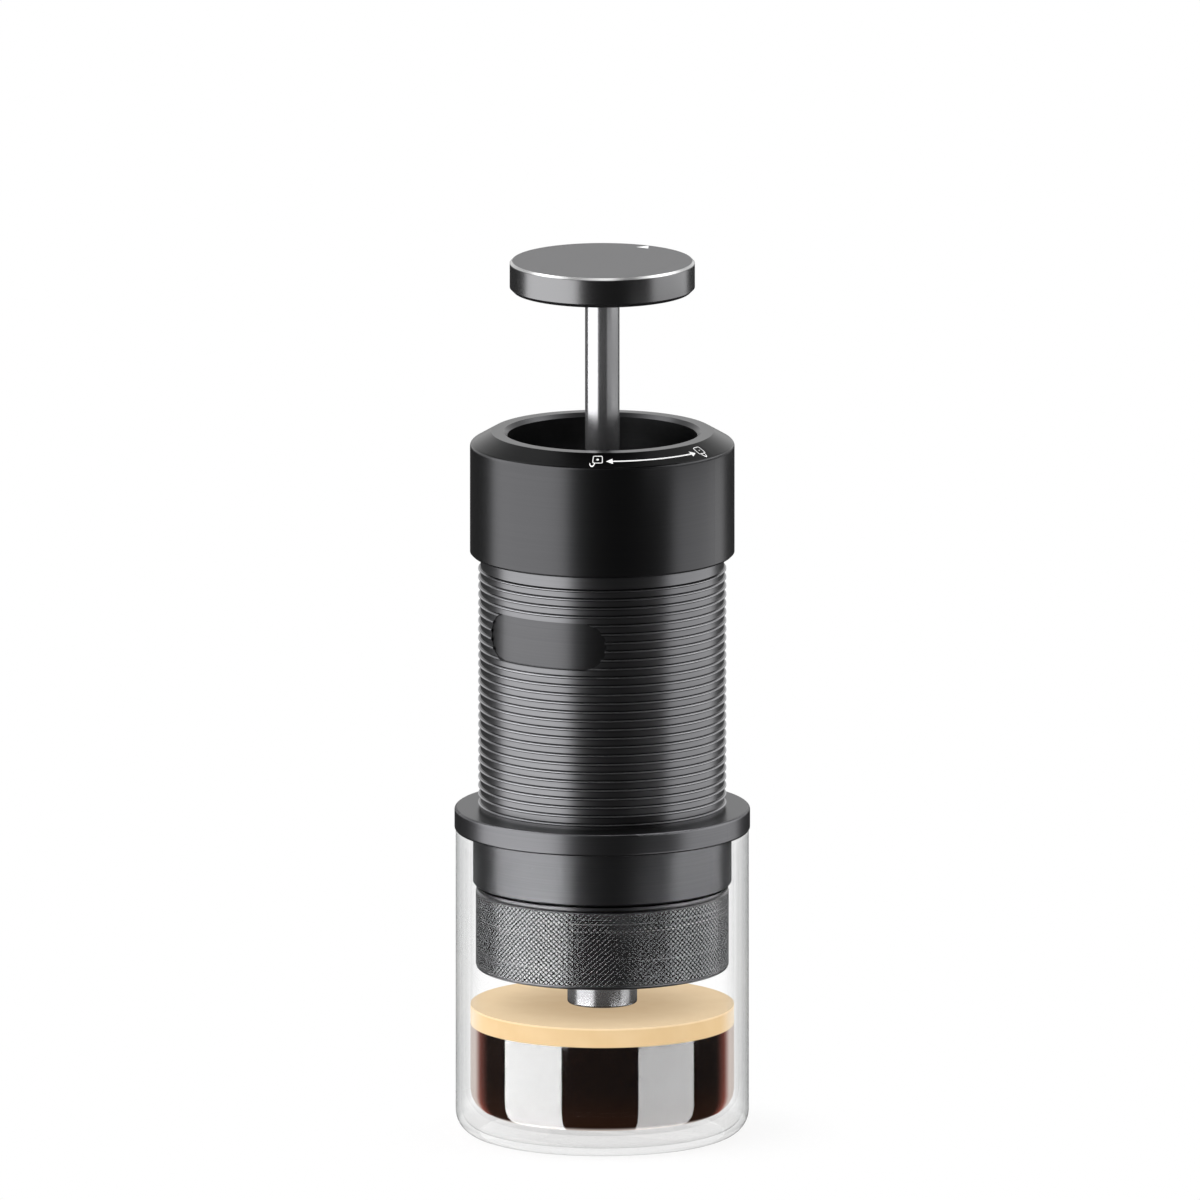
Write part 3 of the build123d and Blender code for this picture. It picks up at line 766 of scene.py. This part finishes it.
def stage_object(name, mesh, finish, **seen_by):
    made = in_scene(name, mesh, finish)
    for ray, seen in seen_by.items():
        setattr(made, ray, seen)


def floor_finish():
    """White that fades from a real floor, which keeps the shadow, to an even backdrop."""
    finish = Finish("floor_white")
    far = 0.82 + finish.radius().smooth(0.03, 0.06) * 0.18
    matt = finish.node("ShaderNodeBsdfDiffuse", {}, {"Color": colour(0.85)})
    path = finish.node("ShaderNodeLightPath")
    seen = path.out("Is Camera Ray").larger(path.out("Is Transmission Ray"))
    values = {0: far * seen, 1: matt, 2: finish.glow(colour(1.0))}
    return finish.surface(finish.node("ShaderNodeMixShader", {}, values))


def room_finish(room_radius):
    """Dark walls, with the pale backdrop behind the maker fading upwards."""
    finish = Finish("dark_room")
    wall = 0.04
    x, y, z = finish.axes()
    ahead = heading(camera_azimuth)
    behind = (x * -ahead.x + y * -ahead.y) / room_radius
    elevation = (z / room_radius).arcsine()
    fade = elevation.rise(1.33, 0.21)
    above = elevation.smooth(-0.02, 0.08)
    backdrop = fade * above * behind.smooth(-0.1, 0.3)
    return finish.surface(finish.glow(finish.mix_colour(backdrop, colour(wall), colour(1.0 + wall))))


floor_reach = 4.0
room_radius = 3.0
mirrored_only = {
    "visible_camera": False,
    "visible_diffuse": False,
    "visible_transmission": False,
    "visible_shadow": False,
}
bpy.context.scene.world = studio_world()
floor_mesh = bmesh.new()
bmesh.ops.create_grid(floor_mesh, x_segments=1, y_segments=1, size=floor_reach)
stage_object("floor", floor_mesh, floor_finish(), visible_glossy=False, visible_shadow=False)
room_mesh = bmesh.new()
bmesh.ops.create_icosphere(room_mesh, subdivisions=4, radius=room_radius)
stage_object("dark_room", room_mesh, room_finish(room_radius), **mirrored_only)


def curved_card(name, start, end, brightness, distance, bottom, top):
    """A curved card that only mirrors show, standing round the maker between two azimuths."""
    finish = Finish(name)
    edge_at = heading(beside_camera(start)) * distance
    mesh = bmesh.new()
    ends = [mesh.verts.new(edge_at + Vector((0, 0, height))) for height in (bottom, top)]
    upright = mesh.edges.new(ends)
    turn = math.radians(end - start)
    bmesh.ops.spin(mesh, geom=ends + [upright], cent=(0, 0, 0), axis=Z_AXIS, angle=turn, steps=24)
    stage_object(name, mesh, finish.surface(finish.glow(colour(1.0), brightness)), **mirrored_only)


# the coffee mirrors a lit table with dark gaps in it
table_shade = 0.02
for name, start, end, brightness in (
    ("shade_far_left", -160, -90, table_shade),
    ("table_left", -90, -34, 5.4),
    ("shade_middle", -34, 30, table_shade),
    ("table_right", 30, 83, 3.0),
    ("shade_far_right", 83, 160, table_shade),
):
    curved_card(name, start, end, brightness, distance=0.25, bottom=-0.08, top=-0.0175)

# the spout mirrors its own surroundings, close round it
spout_shade = 0.17
for name, start, end, brightness in (
    ("spout_shade_left", -200, -83, spout_shade),
    ("spout_light_left", -83, -24, 2.6),
    ("spout_shade_middle", -24, 58, spout_shade),
    ("spout_light_right", 58, 89, 1.5),
    ("spout_shade_right", 89, 160, spout_shade),
):
    curved_card(name, start, end, brightness, distance=0.031, bottom=0.0262, top=0.036)

# the rod mirrors a grey card on its right
curved_card("grey_card", 32, 132, 0.5, distance=0.1, bottom=0.1485, top=0.1805)

bpy.context.scene.view_settings.view_transform = "Standard"
